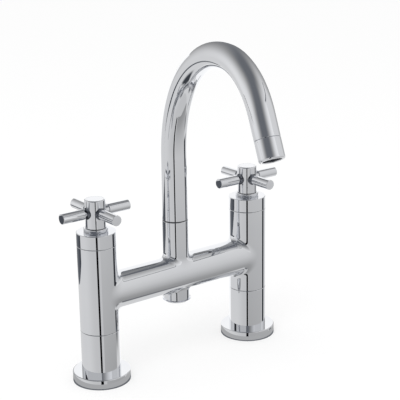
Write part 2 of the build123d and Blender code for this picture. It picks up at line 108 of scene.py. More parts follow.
# %% [markdown]
# ## Node trees written as arithmetic
#
# A material is easier to read as a formula than as a web of wires. Two small classes do that.
# `Wire` holds one output of a node, and its operators add Math nodes, so `1 - mask * 0.5` is
# a real expression. `Tree` adds any other node: its settings first, then the values or wires of
# its inputs.


# %% The two classes
class Wire:
    """One output socket, which takes part in plain arithmetic."""

    def __init__(self, tree, socket):
        self.tree = tree
        self.socket = socket

    def maths(self, operation, first, second=None):
        inputs = {0: first} if second is None else {0: first, 1: second}
        return self.tree.add("ShaderNodeMath", {"operation": operation}, inputs)

    def __add__(self, other):
        return self.maths("ADD", self, other)

    def __radd__(self, other):
        return self.maths("ADD", other, self)

    def __sub__(self, other):
        return self.maths("SUBTRACT", self, other)

    def __rsub__(self, other):
        return self.maths("SUBTRACT", other, self)

    def __mul__(self, other):
        return self.maths("MULTIPLY", self, other)

    def __rmul__(self, other):
        return self.maths("MULTIPLY", other, self)

    def __truediv__(self, other):
        return self.maths("DIVIDE", self, other)

    def __rtruediv__(self, other):
        return self.maths("DIVIDE", other, self)

    def __abs__(self):
        return self.maths("ABSOLUTE", self)


class Tree:
    """The node tree of a material or of the world."""

    def __init__(self, owner):
        owner.use_nodes = True
        self.nodes = owner.node_tree.nodes
        self.links = owner.node_tree.links
        self.nodes.clear()

    def add(self, kind, settings=None, inputs=None, output=0):
        """Adds a node and returns one of its outputs. A ramp's stops are a setting."""
        node = self.nodes.new(kind)
        for name, value in (settings or {}).items():
            if name == "stops":
                self.set_stops(node.color_ramp, value)
            else:
                setattr(node, name, value)
        for name, value in (inputs or {}).items():
            if isinstance(value, Wire):
                self.links.new(value.socket, node.inputs[name])
            else:
                node.inputs[name].default_value = value
        return Wire(self, node.outputs[output]) if len(node.outputs) else node

    @staticmethod
    def set_stops(ramp, stops):
        while len(ramp.elements) < len(stops):
            ramp.elements.new(1.0)
        for element, (place, tone) in zip(ramp.elements, stops):
            element.position = place
            element.color = (tone, tone, tone, 1.0)

    def step(self, value, start, end, low=0.0, high=1.0):
        """A smooth step of value, from low at start to high at end."""
        return self.add("ShaderNodeMapRange", {"interpolation_type": "SMOOTHSTEP"},
                        {"Value": value, "From Min": start, "From Max": end,
                         "To Min": low, "To Max": high})

    def mix(self, factor, first, second):
        """A mix of two colours."""
        return self.add("ShaderNodeMix", {"data_type": "RGBA"},
                        {"Factor": factor, 6: first, 7: second}, output=2)


print("Wire adds maths nodes, Tree adds the rest")

# %% [markdown]
# ## A studio to be mirrored
#
# Polished chrome has next to no colour of its own: it shows the room. The room is therefore part
# of the finish, and a photographer builds it on purpose. Here it is a pale tent with two very
# large soft boxes, left and right of the camera, under a dim ceiling. A dark flag stands at the
# right, and a grey floor lies at the front right. All of this is written in the world as smooth
# steps of azimuth and elevation, so there is no texture and no noise in it. Only glossy rays see
# it. The camera and clear materials see plain white, and matt surfaces get plain white light.

# %% Tones and directions
WHITE = (1.0, 1.0, 1.0, 1.0)
CHROME_SHARE = 0.8


def tone(level):
    """The light of a tone that shows as level, from 0 to 255, on the screen."""
    share = level / 255
    return ((share + 0.055) / 1.055) ** 2.4


def mirrored(level):
    """The light of a card that shows as level in a chrome mirror."""
    return tone(level) / CHROME_SHARE


world = bpy.data.worlds.new("studio")
bpy.context.scene.world = world
sky = Tree(world)
direction = sky.add("ShaderNodeTexCoord", output="Generated")
across = sky.add("ShaderNodeSeparateXYZ", inputs={0: direction}, output="X")
along = Wire(sky, across.socket.node.outputs["Y"])
upward = Wire(sky, across.socket.node.outputs["Z"])
DEGREES = 180 / math.pi
CAMERA_HEADING = math.degrees(CAMERA_AZIMUTH) - 90
azimuth_all = along.maths("ARCTAN2", along, across) * DEGREES - CAMERA_HEADING
elevation = upward.maths("ARCSINE", upward) * DEGREES


def azimuth_from(middle):
    """Degrees to the right of middle, which is itself measured from the camera."""
    turned = azimuth_all - middle
    return sky.add("ShaderNodeMath", {"operation": "WRAP"}, {0: turned, 1: 180.0, 2: -180.0})


print("the camera stands at heading", round(CAMERA_HEADING, 1), "degrees")

# %% [markdown]
# Each card of the studio is a soft-edged patch: where it stands, how far its edges reach and its
# tone. Later cards lie over earlier ones, as flags in front of a soft box do.

# %% Cards in the world
FAR = 400.0
OPEN_BELOW = (-FAR, -FAR + 1)


def patch(middle, left, right, low, high):
    """A mask. left, right, low and high are pairs: where the edge starts and where it is full."""
    side = azimuth_from(middle)
    mask = sky.step(side, *left) * (1 - sky.step(side, *right))
    return mask * sky.step(elevation, *low) * (1 - sky.step(elevation, *high))


CEILING = 102
CARDS = (
    ("left soft box", 219, -90, (-105, -15), (5, 54), OPEN_BELOW, (4, 72)),
    ("right soft box", 225, 75, (-79, -12), (10, 112), OPEN_BELOW, (32, 84)),
    ("floor", 203, 0, (-FAR, -FAR + 1), (FAR - 1, FAR), OPEN_BELOW, (-13, -4)),
    ("grey floor", 189, 60, (-135, -72), (34, 56), OPEN_BELOW, (-24, 4)),
    ("dark floor", 132, 110, (-12, -5), (5, 12), (-46, -38), (-34, -26)),
    ("dark foot", 112, 90, (-36, -24), (12, 20), (-61, -58), (-52, -48)),
    ("dark flag", 50, 118, (-12, -9), (8, 11), (-24.5, -22.5), (-14, -11)),
    ("dark corner", 60, -115, (-22, -12), (12, 22), (-75, -66), (-54, -44)),
)
light = mirrored(CEILING)
for title, level, middle, left, right, low, high in CARDS:
    mask = patch(middle, left, right, low, high)
    light = light * (1 - mask) + mask * mirrored(level)
print(len(CARDS), "cards:", ", ".join(card[0] for card in CARDS))

# %% Which rays see what
AMBIENT = 0.93
SHADE_TINT = (0.9, 1.0, 1.18, 1.0)


def tinted(tree, light):
    """Shade in a studio is bluer than its light."""
    return tree.mix(tree.step(light, 0.0, 0.35), SHADE_TINT, WHITE)


studio = sky.add("ShaderNodeBackground", inputs={"Color": tinted(sky, light), "Strength": light})
plain = sky.add("ShaderNodeBackground", inputs={"Color": WHITE, "Strength": 1.0})
ambient = sky.add("ShaderNodeBackground", inputs={"Color": WHITE, "Strength": AMBIENT})
ray = sky.add("ShaderNodeLightPath", output="Is Camera Ray")
glossy_ray = Wire(sky, ray.socket.node.outputs["Is Glossy Ray"])
clear_ray = Wire(sky, ray.socket.node.outputs["Is Transmission Ray"])
seen = sky.add("ShaderNodeMixShader", inputs={0: glossy_ray, 1: ambient, 2: studio})
shown = sky.add("ShaderNodeMixShader", inputs={0: ray.maths("MAXIMUM", ray, clear_ray),
                                               1: seen, 2: plain})
sky.add("ShaderNodeOutputWorld", inputs={"Surface": shown})
print("matt surfaces get", AMBIENT, "of plain white")

# %% [markdown]
# ## Cards that stand close
#
# Some things stand so near that each part of the faucet sees them in a direction of its own, and
# the world can't do that. They are real cards, seen by glossy rays alone: a white one right behind
# the faucet whitens every flat top, the dark upright of the camera stand draws a thin line down
# each pillar, and a tall board at the right grows darker towards its foot. Two shelves hang low
# at the left, where only the feet of the pillars see them, mirrored once more in the flanges.

# %% Shapes for the studio
away = Vector((math.cos(math.radians(CAMERA_HEADING)), math.sin(math.radians(CAMERA_HEADING)), 0))
beside = Vector((-away.y, away.x, 0))
up = Vector((0, 0, 1))


def spot(sideways, towards, height):
    """A place in metres: to the right, towards the camera and up from the faucet's foot."""
    return beside * sideways + away * towards + up * height


def flat(corners):
    """One face through the corners, each given as a spot."""
    shape = bmesh.new()
    shape.faces.new([shape.verts.new(spot(*corner)) for corner in corners])
    return shape


def curved(edge, start, end):
    """Sweeps an edge of two (radius, height) corners from one azimuth to another."""
    shape = bmesh.new()
    turned_in = math.radians(start)
    verts = [shape.verts.new(spot(radius * math.sin(turned_in), radius * math.cos(turned_in), height))
             for radius, height in edge]
    shape.edges.new(verts)
    bmesh.ops.spin(shape, geom=shape.verts[:] + shape.edges[:], cent=(0, 0, 0), axis=(0, 0, 1),
                   angle=math.radians(end - start), steps=24)
    return shape


def stage_object(name, shape):
    mesh = bpy.data.meshes.new(name)
    shape.to_mesh(mesh)
    shape.free()
    made = bpy.data.objects.new(name, mesh)
    bpy.context.scene.collection.objects.link(made)
    return made


print("azimuth 0 is towards the camera:", [round(value, 3) for value in away])


# %% Cards that shine
def glow(name, direction, stops):
    """A finish whose tone changes along a direction. stops are (metres, tone) pairs."""
    finish = bpy.data.materials.new(name)
    tree = Tree(finish)
    place = tree.add("ShaderNodeTexCoord", output="Object")
    reached = tree.add("ShaderNodeVectorMath", {"operation": "DOT_PRODUCT"},
                       {0: place, 1: direction}, output="Value")
    light = mirrored(stops[0][1])
    for (start, before), (end, after) in zip(stops, stops[1:]):
        gained = mirrored(after) - mirrored(before)
        light = light + tree.add("ShaderNodeMapRange", inputs={
            "Value": reached, "From Min": start, "From Max": end, "To Max": gained})
    light = light if isinstance(light, Wire) else reached * 0.0 + light
    shining = tree.add("ShaderNodeEmission", inputs={"Color": tinted(tree, light),
                                                     "Strength": light})
    tree.add("ShaderNodeOutputMaterial", inputs={"Surface": shining})
    return finish


def card(name, shape, stops, direction=up):
    """A card that only glossy rays see."""
    made = stage_object(name, shape)
    for kind in ("camera", "diffuse", "transmission", "volume_scatter", "shadow"):
        setattr(made, "visible_" + kind, False)
    made.data.materials.append(glow(name, direction, stops))


def upright(middle, half_width, towards, low, high):
    return flat([(middle - half_width, towards, low), (middle + half_width, towards, low),
                 (middle + half_width, towards, high), (middle - half_width, towards, high)])


BOARD_TONES = ((-0.55, 140), (-0.3, 152), (-0.12, 172), (0.1, 193), (0.28, 202), (0.62, 209))
TABLE_TONES = ((-1.31, 150), (-0.02, 62))
card("backdrop_card", upright(0, 0.16, -0.25, -0.2, 0.33), [(0, 241)])
card("camera_stand", upright(0.042, 0.1, 1.1, -1.4, 0.13), [(0, 10)])
card("dark_bar", upright(0.09, 0.1, -0.13, 0.262, 0.276), [(0, 60)])
card("awning", flat([(-0.57, -0.02, 0.06), (-0.5, -0.02, 0.06), (-0.5, -1.31, -0.3),
                     (-0.57, -1.31, -0.3)]), [(0, 205)])
card("right_board", curved([(0.5, -0.55), (0.5, 0.62)], 55, 104), BOARD_TONES)
card("board_rim", curved([(0.5, 0.62), (0.5, 0.655)], 55, 104), [(0, 110)])
card("right_wing", curved([(0.5, -0.55), (0.5, 0.12)], 14, 55), BOARD_TONES)
card("table_edge", flat([(-0.57, -0.02, -0.055), (-0.57, -0.02, 0.06), (-0.57, -1.31, -0.3),
                         (-0.57, -1.31, -0.39)]), TABLE_TONES, away)
card("shelf", curved([(0.45, 0.27), (0.75, 0.27)], -80, -3), [(0, 190)])
card("dark_shelf", curved([(0.4, 0.235), (0.56, 0.235)], -100, -80), [(0, 40)])

# %% [markdown]
# Where the flanges stand, the floor lies in their shade, and each rim mirrors that dark strip along
# its foot. Two thin rings stand for it, worked out from the flange's own box.


# %% Shade round the flanges
def ring(centre_x, inner, outer):
    """A flat ring just over the floor."""
    shape = bmesh.new()
    verts = [shape.verts.new((radius, 0, SHADE_HEIGHT)) for radius in (inner, outer)]
    shape.edges.new(verts)
    bmesh.ops.spin(shape, geom=shape.verts[:] + shape.edges[:], cent=(0, 0, 0), axis=(0, 0, 1),
                   angle=2 * math.pi, steps=48, use_merge=True)
    bmesh.ops.transform(shape, matrix=move(centre_x, 0, 0), verts=shape.verts)
    return shape


SHADE_HEIGHT = 0.0001
SHADES = (("shade", 0.0, 0.0025, 105), ("half_shade", 0.0025, 0.012, 165))
for side in ("left", "right"):
    low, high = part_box(f"{side}_base_flange")
    middle_x = (low[0] + high[0]) / 2
    for title, start, end, level in SHADES:
        card(f"{side}_{title}", ring(middle_x, high[1] + start, high[1] + end), [(0, level)])
print("shade round flanges of", round(2000 * high[1], 1), "mm")

# %% [markdown]
# The floor is matt white and gives off much of its own light. That keeps it white without a
# stronger lamp on the chrome, and the faucet still throws a soft shadow on it.

# %% Floor
FLOOR_REACH = 8.0


def floor_material():
    """Matt white, with much of its light its own, so that the floor is white and keeps a shadow."""
    OWN_LIGHT = 0.6
    paint = bpy.data.materials.new("floor")
    tree = Tree(paint)
    matt = tree.add("ShaderNodeBsdfDiffuse", inputs={"Color": WHITE})
    own = tree.add("ShaderNodeEmission", inputs={"Color": WHITE, "Strength": 1.0})
    mixed = tree.add("ShaderNodeMixShader", inputs={0: OWN_LIGHT, 1: matt, 2: own})
    tree.add("ShaderNodeOutputMaterial", inputs={"Surface": mixed})
    return paint


floor = stage_object("floor", flat([(-FLOOR_REACH, -FLOOR_REACH, 0), (FLOOR_REACH, -FLOOR_REACH, 0),
                                    (FLOOR_REACH, FLOOR_REACH, 0), (-FLOOR_REACH, FLOOR_REACH, 0)]))
floor.data.materials.append(floor_material())
floor.visible_glossy = False
print("floor", 2 * FLOOR_REACH, "m wide")

# %% [markdown]
# One large lamp hangs over the left shoulder of the camera. It is soft, it is not mirrored in the
# chrome, and it gives the shadow under the flanges a direction.

# %% Key lamp
lamp_data = bpy.data.lights.new("key", "AREA")
lamp_data.shape = "DISK"
lamp_data.size = 1.2
lamp_data.energy = 9.0
key = bpy.data.objects.new("key", lamp_data)
bpy.context.scene.collection.objects.link(key)
key.location = 1.1 * away - 0.5 * beside + Vector((0, 0, 1.6))
key.rotation_euler = (-key.location).to_track_quat("-Z", "Y").to_euler()
key.visible_glossy = False
bpy.context.scene.view_settings.view_transform = "Standard"
print("key lamp", lamp_data.energy, "W at", [round(value, 2) for value in key.location])

# %% [markdown]
# ## The finishes
#
# Every finish is a short function that returns a material. Each reads Object coordinates, so its
# grain has a real size in metres and stays on the piece when the piece moves. What varies over
# the surface goes into colour, roughness and a fine bump, because those three tell metal, rubber,
# ceramic and plastic apart.


# %% Helpers for the finishes
def principled(tree, **inputs):
    """The surface shader and the output, with values or wires by the shader's own names."""
    named = {name.replace("_", " "): value for name, value in inputs.items()}
    surface = tree.add("ShaderNodeBsdfPrincipled", inputs=named)
    tree.add("ShaderNodeOutputMaterial", inputs={"Surface": surface})


def noise(tree, place, scale, detail=2.0):
    return tree.add("ShaderNodeTexNoise", inputs={"Vector": place, "Scale": scale,
                                                  "Detail": detail})


def bump(tree, height, distance, strength=1.0):
    return tree.add("ShaderNodeBump", inputs={"Height": height, "Distance": distance,
                                              "Strength": strength})


def new_finish(name):
    """A material, its tree and the Object coordinates that its pattern lies on."""
    made = bpy.data.materials.new(name)
    tree = Tree(made)
    return made, tree, tree.add("ShaderNodeTexCoord", output="Object")


print("a finish is a function of Object coordinates")

# %% [markdown]
# Chrome plate is a mirror with a faint blue cast. Real plate is never perfect: the metal under it
# was polished on a wheel, so the gloss varies softly and the surface rolls a little. In the
# pockets of a hub the plate is duller and painted dark: painted shade.


# %% Chrome plate
# The dark colour painted into the hubs' pockets as painted shade.
POCKET_PAINTED_SHADE = (0.2, 0.21, 0.235, 1.0)
hub_low, hub_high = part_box("right_handle_hub")
HUB_MIDDLE = (hub_low[0] + hub_high[0]) / 2
HUB_RADIUS = (hub_high[0] - hub_low[0]) / 2


def near_hub(tree, place, reach, top):
    """1 within reach of the upright axis of either hub and below top, 0 outside."""
    x = tree.add("ShaderNodeSeparateXYZ", inputs={0: place}, output="X")
    y = Wire(tree, x.socket.node.outputs["Y"])
    z = Wire(tree, x.socket.node.outputs["Z"])
    aside = abs(x) - HUB_MIDDLE
    distance = tree.add("ShaderNodeMath", {"operation": "SQRT"}, {0: aside * aside + y * y})
    return (1 - tree.step(distance, 0.99 * reach, reach)) * (1 - tree.step(z, 0.999 * top, top))


def chrome_plate(name="chrome_plate", shade_reach=None, shade_top=None):
    """Chrome plate. Given a reach and a top, it is duller within that reach of a hub's axis and below
    that top, and painted dark there: painted shade in the hub's pockets.
    """
    made, tree, place = new_finish(name)
    cloud = noise(tree, place, 28.0)
    fine = noise(tree, place, 900.0, 3.0)
    colour = tree.mix(tree.step(cloud, 0.3, 0.7), (0.785, 0.797, 0.825, 1), (0.8, 0.81, 0.833, 1))
    roughness = 0.012 + 0.012 * tree.step(cloud, 0.35, 0.75) + 0.008 * fine
    if shade_reach:
        # Painted shade: inside the hubs' pockets the colour is darkened and the plate made duller.
        pocket_shade = near_hub(tree, place, shade_reach, shade_top)
        colour = tree.mix(pocket_shade, colour, POCKET_PAINTED_SHADE)
        roughness = roughness + 0.25 * pocket_shade
    rolling = noise(tree, place, 60.0)
    normal = bump(tree, rolling, 0.00001)
    principled(tree, Base_Color=colour, Metallic=1.0, Roughness=roughness, Normal=normal)
    return made


chrome = chrome_plate()
print("finish:", chrome.name)

# %% [markdown]
# Brass is cut on a lathe, so it keeps fine rings and a warm colour that darkens in patches where
# it was handled. The stainless steel of screws, clips and screens is drawn and rolled: its grain
# is the same noise, stretched along one axis by a Mapping node.


# %% Brass and stainless steel
def brass():
    made, tree, place = new_finish("brass")
    height = tree.add("ShaderNodeSeparateXYZ", inputs={0: place}, output="Z")
    rings = tree.add("ShaderNodeMath", {"operation": "SINE"}, {0: height * 9000.0})
    tarnish = tree.step(noise(tree, place, 90.0, 4.0), 0.35, 0.7)
    colour = tree.mix(tarnish, (0.78, 0.6, 0.31, 1), (0.63, 0.46, 0.23, 1))
    roughness = 0.2 + 0.12 * tarnish + 0.03 * rings
    normal = bump(tree, rings, 0.000004)
    principled(tree, Base_Color=colour, Metallic=1.0, Roughness=roughness, Normal=normal)
    return made


def stainless_steel():
    made, tree, place = new_finish("stainless_steel")
    drawn = tree.add("ShaderNodeMapping", inputs={"Vector": place, "Scale": (12.0, 1.0, 1.0)})
    grain = noise(tree, drawn, 320.0, 4.0)
    colour = tree.mix(grain, (0.55, 0.55, 0.57, 1), (0.68, 0.68, 0.69, 1))
    roughness = 0.22 + 0.16 * grain
    normal = bump(tree, grain, 0.00001)
    principled(tree, Base_Color=colour, Metallic=1.0, Roughness=roughness, Normal=normal)
    return made


def wire_cloth_in_painted_shade():
    """The fine screens in the mouth: woven wire, painted dark as the shade deep in the mouth."""
    made, tree, place = new_finish("wire_cloth_in_painted_shade")
    turned_way = tree.add("ShaderNodeSeparateXYZ", inputs={0: place})
    wires = [tree.add("ShaderNodeMath", {"operation": "SINE"},
                      {0: Wire(tree, turned_way.socket.node.outputs[way]) * 9000.0})
             for way in ("X", "Y")]
    weave = 0.5 + 0.5 * wires[0] * wires[1]
    # Painted shade: the wire is nearly black, standing in for the shade deep in the mouth; the weave is
    # the cloth's own.
    colour = tree.mix(weave, (0.012, 0.014, 0.02, 1), (0.05, 0.055, 0.07, 1))
    principled(tree, Base_Color=colour, Metallic=1.0, Roughness=0.4 + 0.1 * weave,
               Normal=bump(tree, weave, 0.00003))
    return made


print("two more metals and a cloth of wire")

# %% [markdown]
# Moulded rubber is nearly black, dull and faintly grainy, with a pale bloom. Lapped ceramic is a
# warm white with tiny specks under a hard gloss. Acetal is a dark, waxy plastic with the soft
# orange-peel of its mould.


# %% Rubber, ceramic and acetal
def rubber():
    made, tree, place = new_finish("rubber")
    bloom = tree.step(noise(tree, place, 140.0, 4.0), 0.45, 0.8)
    colour = tree.mix(bloom, (0.03, 0.03, 0.033, 1), (0.075, 0.075, 0.078, 1))
    grain = noise(tree, place, 2200.0)
    principled(tree, Base_Color=colour, Roughness=0.55 + 0.2 * grain,
               Normal=bump(tree, grain, 0.00003))
    return made


def ceramic():
    made, tree, place = new_finish("ceramic")
    specks = tree.step(noise(tree, place, 1400.0, 1.0), 0.66, 0.74)
    colour = tree.mix(specks, (0.92, 0.9, 0.86, 1), (0.7, 0.66, 0.6, 1))
    lapped = noise(tree, place, 500.0, 3.0)
    principled(tree, Base_Color=colour, Roughness=0.12 + 0.1 * lapped,
               Normal=bump(tree, lapped, 0.000005))
    return made


def acetal():
    made, tree, place = new_finish("acetal")
    cloud = noise(tree, place, 200.0, 3.0)
    peel = noise(tree, place, 1500.0, 1.0)
    colour = tree.mix(cloud, (0.028, 0.03, 0.038, 1), (0.05, 0.053, 0.064, 1))
    principled(tree, Base_Color=colour, Roughness=0.34 + 0.1 * peel,
               Normal=bump(tree, peel, 0.00002))
    return made


FINISHES = {"chrome_plate": chrome, "brass": brass(), "stainless_steel": stainless_steel(),
            "rubber": rubber(), "ceramic": ceramic(), "acetal": acetal()}
slot_of = {part["node"]: part["material_slot"] for part in frame["record"]["subparts"]}
for name, node in nodes.items():
    node.material_slots[0].material = FINISHES[slot_of[name]]
# The screens get the woven wire, painted dark as shade.
nodes["aerator_screens"].material_slots[0].material = wire_cloth_in_painted_shade()
print({finish: sum(slot == finish for slot in slot_of.values()) for finish in FINISHES})

# %% [markdown]
# ## Turned pieces
#
# Hubs, arms and caps come off a lathe, and `bmesh.ops.spin` is one: it takes an outline of
# corners, given as radius and height, and sweeps it round. The spin leaves double points on its
# seam and at the poles, so they are merged, and the faces are turned outwards afterwards. Sharp
# metal edges don't exist: each rim is bevelled by the cutter's or the polisher's radius, and that
# small bevel is what catches the light.

# %% The lathe
MM = 0.001
CLOSE = 0.00002
LATHE_STEPS = 96


def merge_and_orient(shape):
    bmesh.ops.remove_doubles(shape, verts=shape.verts, dist=CLOSE / 4)
    bmesh.ops.recalc_face_normals(shape, faces=shape.faces)


def turned(outline, closed=False, row_height=None):
    """Spins an outline of (radius, height) corners about Z. A closed outline leaves a bore."""
    shape = bmesh.new()
    corners = [shape.verts.new((radius, 0, height)) for radius, height in outline]
    following = corners[1:] + (corners[:1] if closed else [])
    for first, second in zip(corners, following):
        shape.edges.new((first, second))
    if row_height:
        for edge in list(shape.edges):
            cuts = int(edge.calc_length() / row_height)
            if cuts and abs(edge.verts[0].co.x - edge.verts[1].co.x) < CLOSE:
                bmesh.ops.subdivide_edges(shape, edges=[edge], cuts=cuts)
    bmesh.ops.spin(shape, geom=shape.verts[:] + shape.edges[:], cent=(0, 0, 0), axis=(0, 0, 1),
                   angle=2 * math.pi, steps=LATHE_STEPS, use_merge=True)
    merge_and_orient(shape)
    return shape


def round_rim(shape, radius, height, size, segments=4):
    """Bevels the round edge at one radius and height."""
    def on_rim(vert):
        return (abs(math.hypot(vert.co.x, vert.co.y) - radius) < CLOSE
                and abs(vert.co.z - height) < CLOSE)
    rim = [edge for edge in shape.edges if all(on_rim(vert) for vert in edge.verts)]
    bmesh.ops.bevel(shape, geom=rim, offset=size, offset_type="OFFSET", segments=segments,
                    profile=0.5, affect="EDGES", material=-1)


def add_piece(name, shape, body, slot, stands_for, place=None):
    """Sets a finished shape in its place, dresses it and joins it to its body."""
    if place is not None:
        bmesh.ops.transform(shape, matrix=place, verts=shape.verts)
    mesh = bpy.data.meshes.new(name)
    shape.to_mesh(mesh)
    shape.free()
    mesh.shade_smooth()
    mesh.materials.append(FINISHES[slot])
    piece = bpy.data.objects.new(name, mesh)
    bpy.context.scene.collection.objects.link(piece)
    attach(piece, body)
    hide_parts(*stands_for)
    return piece


def weigh_normals(piece):
    """Keeps flat and round faces true beside their bevels."""
    weighted = piece.modifiers.new("weighted normals", "WEIGHTED_NORMAL")
    weighted.keep_sharp = True


print("the lathe makes", LATHE_STEPS, "facets a turn")

# %% [markdown]
# ## The cross handles
#
# Each handle is a hub with four arms screwed into spot-faced holes. An arm is a bar with a thin
# neck. The dark ring where an arm meets the hub is partly the neck's shadow and partly painted
# shade in the hub's pockets. All four arms share one outline, laid out from the frame: the box
# of the arm that points to +X gives its reach and its radius.

# %% Handle arms
NECK_LENGTH = 3.4 * MM
NECK_RADIUS = 3.6 * MM
SPOT_FACE = 7.9 * MM
ARM_EDGE = 0.4 * MM
ARM_TURNS = {"right": 0, "back": 90, "left": 180, "front": 270}
SIDES = ("left", "right")


def handle_arm(reach, radius, root):
    arm = turned([(0, SPOT_FACE), (NECK_RADIUS, SPOT_FACE), (NECK_RADIUS, root), (radius, root),
                  (radius, reach), (0, reach)])
    round_rim(arm, radius, root, ARM_EDGE)
    round_rim(arm, radius, reach, ARM_EDGE)
    return arm


for side in SIDES:
    low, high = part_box(f"{side}_handle_hub")
    axis_x = (low[0] + high[0]) / 2
    hub_radius = (high[0] - low[0]) / 2
    arm_low, arm_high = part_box(f"{side}_handle_arm_right")
    arm_radius = (arm_high[2] - arm_low[2]) / 2
    arm_z = (arm_high[2] + arm_low[2]) / 2
    for name, angle in ARM_TURNS.items():
        place = move(axis_x, 0, arm_z) @ turn(math.radians(angle), "Z") @ turn(math.pi / 2, "Y")
        arm = handle_arm(arm_high[0] - axis_x, arm_radius, hub_radius + NECK_LENGTH)
        weigh_normals(add_piece(f"{side}_{name}_arm_bar", arm, f"{side}_handle", "chrome_plate",
                                [f"{side}_handle_arm_{name}"], place))
    print(side, "arms reach", round((arm_high[0] - axis_x) / MM, 2), "mm, radius",
          round(arm_radius / MM, 2), "mm")

# %% [markdown]
# The hub is bored from both ends: below for the stem of the valve, above for the index cap. Its
# outline is closed, so the spin leaves that bore open. Four pockets are cut into its wall with
# the boolean modifier, which needs objects, so each shape becomes one for a moment. The cap is a
# plain disc with a fine edge, and the collar under the hub is a plain ring.


# %% Booleans on shapes
def loose_object(shape):
    mesh = bpy.data.meshes.new("loose")
    shape.to_mesh(mesh)
    shape.free()
    made = bpy.data.objects.new("loose", mesh)
    bpy.context.scene.collection.objects.link(made)
    return made


def combined(first, others, operation):
    """Joins the first shape with the others, or cuts them out of it."""
    whole = loose_object(first)
    tools = [loose_object(other) for other in others]
    for tool in tools:
        cut = whole.modifiers.new("cut", "BOOLEAN")
        cut.operation = operation
        cut.solver = "EXACT"
        cut.object = tool
    graph = bpy.context.evaluated_depsgraph_get()
    mesh = bpy.data.meshes.new_from_object(whole.evaluated_get(graph))
    shape = bmesh.new()
    shape.from_mesh(mesh)
    bpy.data.meshes.remove(mesh)
    for made in tools + [whole]:
        bpy.data.meshes.remove(made.data)
    return shape


def placed(shape, place):
    bmesh.ops.transform(shape, matrix=place, verts=shape.verts)
    return shape


print("combined joins or cuts with the exact solver")

# %% Hubs, caps and collars
HUB_EDGE = 0.9 * MM
FINE_EDGE = 0.12 * MM
COLLAR_EDGE = 0.5 * MM
COLLAR_BORE = 8.85 * MM
COLLAR_LIP = 6.6 * MM
LIP_THICKNESS = 0.6 * MM
CAP_FIT = 0.05 * MM
SPLINE_BORE = 3.65 * MM
STEM_RECESS = 7.0 * MM
STEM_RECESS_DEPTH = 7.6 * MM
POCKET_RADIUS = 5.5 * MM
# The hubs' plate, with painted shade in its pockets.
plate_with_pocket_shade = chrome_plate("plate_with_pocket_shade", HUB_RADIUS, hub_high[2] - HUB_EDGE)


def span(node):
    """The radius, foot and top of a node that is turned about an upright axis."""
    low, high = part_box(node)
    return (high[0] - low[0]) / 2, low[2], high[2]


def pocket(radius, height, angle):
    cutter = turned([(0, SPOT_FACE), (POCKET_RADIUS, SPOT_FACE), (POCKET_RADIUS, 2 * radius),
                     (0, 2 * radius)])
    return placed(cutter, move(0, 0, height) @ turn(math.radians(angle), "Z")
                  @ turn(math.pi / 2, "Y"))


def handle_hub(radius, foot, top, cap_foot):
    recess_top = foot + STEM_RECESS_DEPTH
    recess = cap_radius + CAP_FIT
    hub = turned([(STEM_RECESS, foot), (radius, foot), (radius, top), (recess, top),
                  (recess, cap_foot), (SPLINE_BORE, cap_foot), (SPLINE_BORE, recess_top),
                  (STEM_RECESS, recess_top)], closed=True)
    round_rim(hub, radius, foot, FINE_EDGE)
    round_rim(hub, radius, top, HUB_EDGE, 6)
    return combined(hub, [pocket(radius, arm_z, angle) for angle in ARM_TURNS.values()],
                    "DIFFERENCE")


for side in SIDES:
    axis = move((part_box(f"{side}_handle_hub")[0][0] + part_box(f"{side}_handle_hub")[1][0]) / 2, 0, 0)
    cap_radius, cap_foot, cap_top = span(f"{side}_index_cap")
    hub = handle_hub(*span(f"{side}_handle_hub"), cap_foot)
    hub_piece = add_piece(f"{side}_hub_turned", hub, f"{side}_handle", "chrome_plate",
                          [f"{side}_handle_hub"], axis)
    # The hub gets the plate whose pockets are painted dark as shade.
    hub_piece.data.materials[0] = plate_with_pocket_shade
    hub_piece.data.set_sharp_from_angle(angle=math.radians(30))
    weigh_normals(hub_piece)
    cap = turned([(0, cap_foot), (cap_radius, cap_foot), (cap_radius, cap_top), (0, cap_top)])
    round_rim(cap, cap_radius, cap_top, FINE_EDGE)
    weigh_normals(add_piece(f"{side}_cap_disc", cap, f"{side}_handle", "chrome_plate",
                            [f"{side}_index_cap"], axis))
    radius, foot, top = span(f"{side}_shroud_collar")
    collar = turned([(COLLAR_BORE, foot), (radius, foot), (radius, top), (COLLAR_LIP, top),
                     (COLLAR_LIP, top - LIP_THICKNESS), (COLLAR_BORE, top - LIP_THICKNESS)],
                    closed=True)
    round_rim(collar, radius, top, COLLAR_EDGE, 6)
    weigh_normals(add_piece(f"{side}_collar_turned", collar, "body", "chrome_plate",
                            [f"{side}_shroud_collar"], axis))
    print(side, "hub", round((cap_top - foot) / MM, 1), "mm from the collar's foot to the cap")

# %% [markdown]
# ## The swan neck
#
# The spout is one length of tube, bent on a mandrel: straight up, a wide bend, a tighter bend and a
# short straight fall. It narrows evenly on the way. The centre line is written as those four
# stretches, each with its length and its turn. A ring of points is then carried along it:
# extrude the ring, move it to the next station, and repeat. Even rings give an even mirror, which
# a triangulated export doesn't.

# %% The centre line
SPOUT_SWING = math.radians(12.0)
REAR_BEND = math.radians(93.4)
FRONT_BEND = math.radians(58.9)
SEAM_ROOM = 0.25 * MM
STRETCHES = (
    (63.5 * MM - SEAM_ROOM, 0.0, 14),
    (111.0 * MM * REAR_BEND, REAR_BEND, 64),
    (71.3 * MM * FRONT_BEND, FRONT_BEND, 40),
    (19.8 * MM, 0.0, 6),
)
SPOUT_LENGTH = sum(length for length, bend, steps in STRETCHES)
TUBE_FOOT_RADIUS = 12.6 * MM
TUBE_TIP_RADIUS = 11.1 * MM
TUBE_WALL = 1.5 * MM
SEAM_EDGE = 0.3 * MM
forward = Vector((-math.sin(SPOUT_SWING), -math.cos(SPOUT_SWING), 0))


